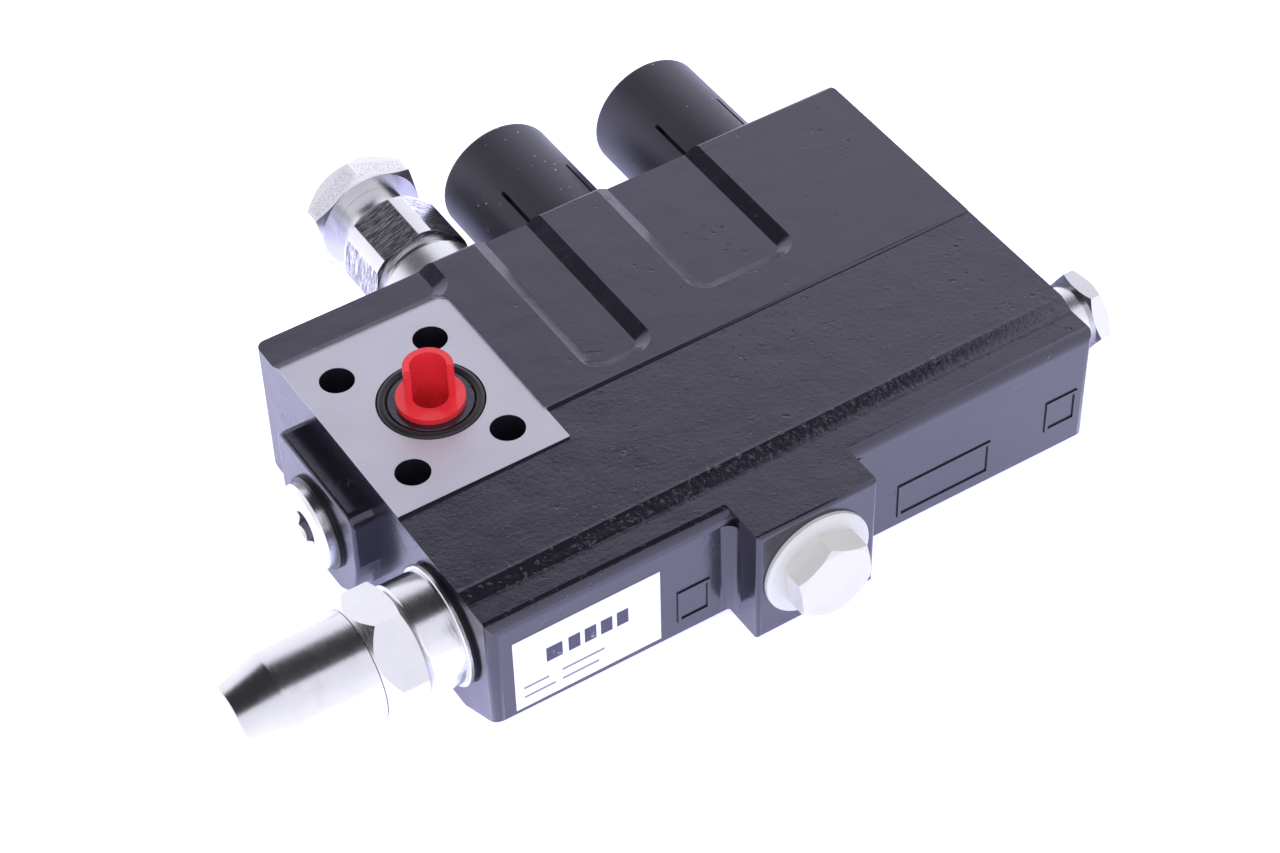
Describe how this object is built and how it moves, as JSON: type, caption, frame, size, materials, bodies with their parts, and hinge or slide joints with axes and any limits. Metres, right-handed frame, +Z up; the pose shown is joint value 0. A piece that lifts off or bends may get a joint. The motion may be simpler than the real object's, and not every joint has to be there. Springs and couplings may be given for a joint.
{
  "type": "hydraulic solenoid directional valve",
  "caption": "Flange-mounted hydraulic valve block with a pilot-moved main spool, solenoid cartridges, an adjustable relief valve and plugged ports.",
  "frame": {"origin": "on the underside, in the middle of the four flange bolt holes", "axes": "+X along the casting, from the spring cap to the pilot cap; +Y towards the solenoids; +Z up, out of the flange face"},
  "size_m": [0.308, 0.2321, 0.0673],
  "materials": {
    "black_paint": "gloss",
    "label_paper": "satin",
    "seal_rubber": "satin",
    "red_plastic": "satin",
    "white_plastic": "satin",
    "zinc_steel": "satin",
    "turned_steel": "polished",
    "plain_steel": "machined",
    "ground_steel": "ground",
    "spring_steel": "satin",
    "coil_copper": "enamelled copper wire",
    "contact_brass": "satin",
    "black_plastic": "matt",
    "cover_plastic": "matt"
  },
  "bodies": {
    "housing": {"valve_body": "black_paint", "label": "label_paper", "flange_o_ring": "seal_rubber", "transport_plug": "red_plastic", "end_plug": "zinc_steel", "end_plug_seal": "seal_rubber", "front_port_plug": "white_plastic", "spring_housing": "turned_steel", "housing_seal": "seal_rubber", "spring_cap": "turned_steel", "lock_nut": "plain_steel", "main_spring": "spring_steel", "pilot_cap": "zinc_steel", "pilot_cap_seal": "seal_rubber", "relief_body": "zinc_steel", "relief_seal": "seal_rubber", "relief_cap": "zinc_steel", "relief_spring": "spring_steel", "relief_seat": "plain_steel", "cartridge_sleeve_a": "plain_steel", "sleeve_seals_a": "seal_rubber", "core_tube_a": "plain_steel", "pole_piece_a": "plain_steel", "return_spring_a": "spring_steel", "coil_shell_a": "zinc_steel", "bobbin_a": "black_plastic", "winding_a": "coil_copper", "coil_nut_a": "plain_steel", "connector_socket_a": "black_plastic", "terminals_a": "contact_brass", "solenoid_cover_a": "cover_plastic", "cartridge_sleeve_b": "plain_steel", "sleeve_seals_b": "seal_rubber", "core_tube_b": "plain_steel", "pole_piece_b": "plain_steel", "return_spring_b": "spring_steel", "coil_shell_b": "zinc_steel", "bobbin_b": "black_plastic", "winding_b": "coil_copper", "coil_nut_b": "plain_steel", "connector_socket_b": "black_plastic", "terminals_b": "contact_brass", "solenoid_cover_b": "cover_plastic"},
    "main_spool_body": {"main_spool": "ground_steel", "moving_spring_seat": "plain_steel"},
    "pilot_piston_body": {"pilot_piston": "ground_steel"},
    "spring_seat_body": {"fixed_spring_seat": "plain_steel"},
    "adjusting_screw_body": {"adjusting_screw": "plain_steel"},
    "relief_poppet_body": {"relief_poppet": "ground_steel"},
    "relief_seat_disc_body": {"relief_spring_seat": "plain_steel"},
    "relief_screw_body": {"relief_screw": "plain_steel"},
    "plunger_body_a": {"plunger_a": "ground_steel", "push_pin_a": "ground_steel"},
    "cartridge_spool_body_a": {"cartridge_spool_a": "ground_steel"},
    "plunger_body_b": {"plunger_b": "ground_steel", "push_pin_b": "ground_steel"},
    "cartridge_spool_body_b": {"cartridge_spool_b": "ground_steel"}
  },
  "joints": [
    {"name": "main_spool_slide", "type": "slide", "parent": "housing", "child": "main_spool_body", "axis": [-1, 0, 0], "range_m": [0, 0.006], "stiffness_N_per_m": 1500, "springref_m": -0.004, "deforming": ["main_spring"]},
    {"name": "pilot_piston_slide", "type": "slide", "parent": "housing", "child": "pilot_piston_body", "axis": [-1, 0, 0], "range_m": [0, 0.006]},
    {"name": "adjusting_screw_turn", "type": "hinge", "parent": "spring_seat_body", "child": "adjusting_screw_body", "pos_m": [-0.0469, -0.0594, 0.0283], "axis": [1, 0, 0], "range_deg": [-361, 721]},
    {"name": "spring_seat_slide", "type": "slide", "parent": "housing", "child": "spring_seat_body", "axis": [1, 0, 0], "range_m": [-0.0015, 0.003]},
    {"name": "relief_poppet_slide", "type": "slide", "parent": "housing", "child": "relief_poppet_body", "axis": [0, 1, 0], "range_m": [0, 0.0018], "stiffness_N_per_m": 800, "springref_m": -0.004, "deforming": ["relief_spring"]},
    {"name": "relief_screw_turn", "type": "hinge", "parent": "relief_seat_disc_body", "child": "relief_screw_body", "pos_m": [0.0407, 0.0849, 0.027], "axis": [0, -1, 0], "range_deg": [-181, 1081]},
    {"name": "relief_seat_disc_slide", "type": "slide", "parent": "housing", "child": "relief_seat_disc_body", "axis": [0, -1, 0], "range_m": [-0.00063, 0.00375]},
    {"name": "plunger_slide_a", "type": "slide", "parent": "housing", "child": "plunger_body_a", "axis": [0, -1, 0], "range_m": [0, 0.003], "stiffness_N_per_m": 600, "springref_m": -0.003},
    {"name": "cartridge_spool_slide_a", "type": "slide", "parent": "housing", "child": "cartridge_spool_body_a", "axis": [0, -1, 0], "range_m": [0, 0.003], "deforming": ["return_spring_a"]},
    {"name": "plunger_slide_b", "type": "slide", "parent": "housing", "child": "plunger_body_b", "axis": [0, -1, 0], "range_m": [0, 0.003], "stiffness_N_per_m": 600, "springref_m": -0.003},
    {"name": "cartridge_spool_slide_b", "type": "slide", "parent": "housing", "child": "cartridge_spool_body_b", "axis": [0, -1, 0], "range_m": [0, 0.003], "deforming": ["return_spring_b"]}
  ],
  "couplings": [
    {"joint": "pilot_piston_slide", "follows": "main_spool_slide", "ratio": 1},
    {"joint": "adjusting_screw_turn", "follows": "spring_seat_slide", "rad_per_m": 4188.8},
    {"joint": "relief_screw_turn", "follows": "relief_seat_disc_slide", "rad_per_m": 5026.5},
    {"joint": "cartridge_spool_slide_a", "follows": "plunger_slide_a", "ratio": 1},
    {"joint": "cartridge_spool_slide_b", "follows": "plunger_slide_b", "ratio": 1}
  ]
}
